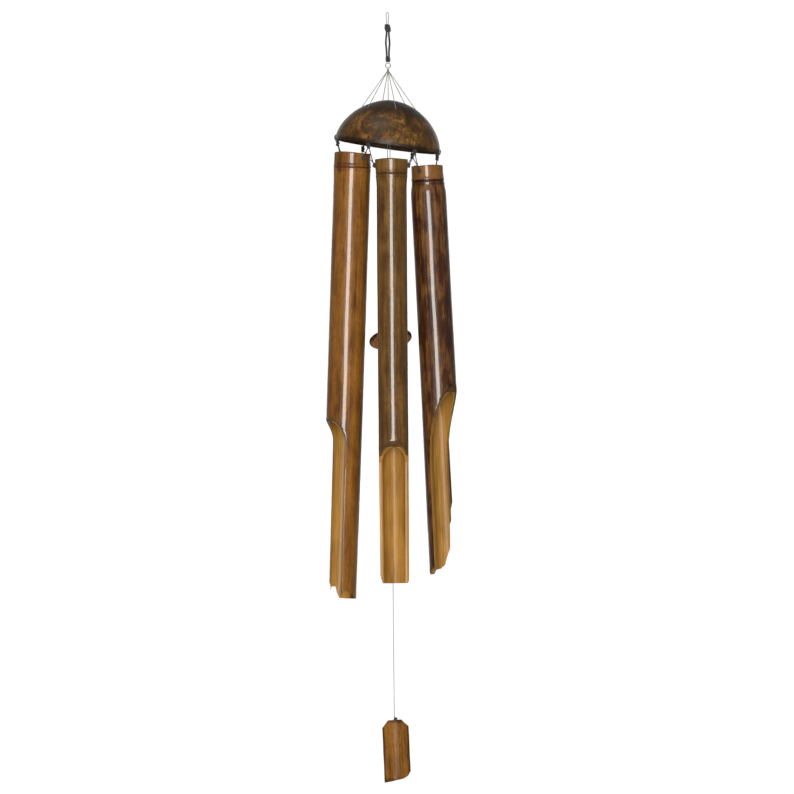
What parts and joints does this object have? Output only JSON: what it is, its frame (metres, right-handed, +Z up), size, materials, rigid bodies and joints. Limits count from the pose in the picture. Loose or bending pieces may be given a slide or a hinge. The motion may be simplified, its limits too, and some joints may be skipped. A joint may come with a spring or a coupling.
{
  "type": "wind chime",
  "caption": "Hanging wind chime: scooped bamboo tubes strung under a half coconut shell round a wooden clapper disc, with a bamboo wind sail on a long nylon line.",
  "frame": {"origin": "top of the hanging thread's loop, where a hook or nail holds the chime", "axes": "+Z up, -Y towards the front of the chime, +X to its right as seen from the front"},
  "size_m": [0.1529, 0.1641, 0.9014],
  "materials": {
    "nylon_line": "translucent pale nylon",
    "black_cord": "waxed twisted cord",
    "ring_wire": "dull wire",
    "coconut_shell": "polished, mottled",
    "clapper_wood": "varnished",
    "sail_bamboo": "varnished",
    "bamboo_amber": "gloss varnish",
    "bamboo_olive": "gloss varnish",
    "bamboo_dark": "gloss varnish"
  },
  "bodies": {
    "hanger": {"hang_thread": "nylon_line", "hang_knot": "black_cord", "hang_cord_left": "black_cord", "hang_cord_right": "black_cord", "cord_end_knot": "black_cord"},
    "ring": {"top_ring": "ring_wire"},
    "line_swivel": {"line_knot": "nylon_line"},
    "dome": {"support_line_1": "nylon_line", "support_line_2": "nylon_line", "support_line_3": "nylon_line", "support_line_4": "nylon_line", "support_line_5": "nylon_line", "support_line_6": "nylon_line", "support_knots": "nylon_line", "coconut_dome": "coconut_shell", "rim_knots": "black_cord", "clapper_top_line": "nylon_line"},
    "crown_pivot": {"crown_knot": "nylon_line"},
    "clapper": {"clapper_line_left": "nylon_line", "clapper_line_right": "nylon_line", "clapper_stop_knot": "nylon_line", "clapper_disc": "clapper_wood"},
    "sail_pivot": {"clapper_knot": "nylon_line"},
    "sail": {"sail_line": "nylon_line", "sail_knot": "black_cord", "sail": "sail_bamboo"},
    "string_front_left": {"string_front_left": "black_cord"},
    "tube_front_left": {"tube_front_left": "bamboo_amber"},
    "string_front": {"string_front": "black_cord"},
    "tube_front": {"tube_front": "bamboo_olive"},
    "string_front_right": {"string_front_right": "black_cord"},
    "tube_front_right": {"tube_front_right": "bamboo_dark"},
    "string_back_right": {"string_back_right": "black_cord"},
    "tube_back_right": {"tube_back_right": "bamboo_olive"},
    "string_back": {"string_back": "black_cord"},
    "tube_back": {"tube_back": "bamboo_amber"},
    "string_back_left": {"string_back_left": "black_cord"},
    "tube_back_left": {"tube_back_left": "bamboo_dark"}
  },
  "joints": [
    {"name": "ring_swing", "type": "hinge", "parent": "hanger", "child": "ring", "pos_m": [0, 0, -0.0596], "axis": [1, 0, 0], "range_deg": [-20, 20]},
    {"name": "chime_twist", "type": "hinge", "parent": "ring", "child": "line_swivel", "pos_m": [0, 0, -0.0678], "axis": [0, 0, 1], "range_deg": [-180, 180]},
    {"name": "dome_tilt", "type": "hinge", "parent": "line_swivel", "child": "dome", "pos_m": [0, 0, -0.0678], "axis": [0, 1, 0], "range_deg": [-15, 15]},
    {"name": "clapper_swing_front", "type": "hinge", "parent": "dome", "child": "crown_pivot", "pos_m": [0, 0, -0.11187], "axis": [1, 0, 0], "range_deg": [-3, 3]},
    {"name": "clapper_swing_side", "type": "hinge", "parent": "crown_pivot", "child": "clapper", "pos_m": [0, 0, -0.11187], "axis": [0, 1, 0], "range_deg": [-3, 3]},
    {"name": "sail_swing_front", "type": "hinge", "parent": "clapper", "child": "sail_pivot", "pos_m": [0, 0, -0.3886], "axis": [1, 0, 0], "range_deg": [-8, 8]},
    {"name": "sail_swing_side", "type": "hinge", "parent": "sail_pivot", "child": "sail", "pos_m": [0, 0, -0.3886], "axis": [0, 1, 0], "range_deg": [-8, 8]},
    {"name": "string_front_left_swing", "type": "hinge", "parent": "dome", "child": "string_front_left", "pos_m": [-0.04152, -0.0288, -0.15656], "axis": [-0.5742, 0.8141, 0.0868], "range_deg": [-1.5, 10]},
    {"name": "tube_front_left_swing", "type": "hinge", "parent": "string_front_left", "child": "tube_front_left", "pos_m": [-0.04257, -0.02817, -0.17299], "axis": [-0.5519, 0.8339, 0], "range_deg": [-1.5, 8]},
    {"name": "string_front_swing", "type": "hinge", "parent": "dome", "child": "string_front", "pos_m": [0.00334, -0.05192, -0.16335], "axis": [0.9842, 0.0958, -0.1488], "range_deg": [-10, 1.5]},
    {"name": "tube_front_swing", "type": "hinge", "parent": "string_front", "child": "tube_front", "pos_m": [0.00309, -0.05096, -0.18149], "axis": [0.9981, 0.0608, -0.0044], "range_deg": [-8, 1.5]},
    {"name": "string_front_right_swing", "type": "hinge", "parent": "dome", "child": "string_front_right", "pos_m": [0.04328, -0.02363, -0.16939], "axis": [0.4566, 0.887, -0.069], "range_deg": [-10, 1.5]},
    {"name": "tube_front_right_swing", "type": "hinge", "parent": "string_front_right", "child": "tube_front_right", "pos_m": [0.04484, -0.02435, -0.18799], "axis": [0.4772, 0.8788, 0], "range_deg": [-8, 1.5]},
    {"name": "string_back_right_swing", "type": "hinge", "parent": "dome", "child": "string_back_right", "pos_m": [0.04199, 0.02649, -0.16919], "axis": [-0.5092, 0.8572, 0.077], "range_deg": [-10, 1.5]},
    {"name": "tube_back_right_swing", "type": "hinge", "parent": "string_back_right", "child": "tube_back_right", "pos_m": [0.04589, 0.02238, -0.18599], "axis": [-0.4384, 0.8988, 0], "range_deg": [-8, 1.5]},
    {"name": "string_back_swing", "type": "hinge", "parent": "dome", "child": "string_back", "pos_m": [-0.0016, 0.05092, -0.1626], "axis": [0.9888, 0, -0.1495], "range_deg": [-1.5, 10]},
    {"name": "tube_back_swing", "type": "hinge", "parent": "string_back", "child": "tube_back", "pos_m": [0.00312, 0.05096, -0.18049], "axis": [0.9981, -0.061, 0], "range_deg": [-1.5, 8]},
    {"name": "string_back_left_swing", "type": "hinge", "parent": "dome", "child": "string_back_left", "pos_m": [-0.04516, 0.02392, -0.15601], "axis": [0.4718, 0.8788, -0.0714], "range_deg": [-1.5, 10]},
    {"name": "tube_back_left_swing", "type": "hinge", "parent": "string_back_left", "child": "tube_back_left", "pos_m": [-0.04376, 0.02629, -0.17299], "axis": [0.515, 0.8572, 0], "range_deg": [-1.5, 8]}
  ]
}
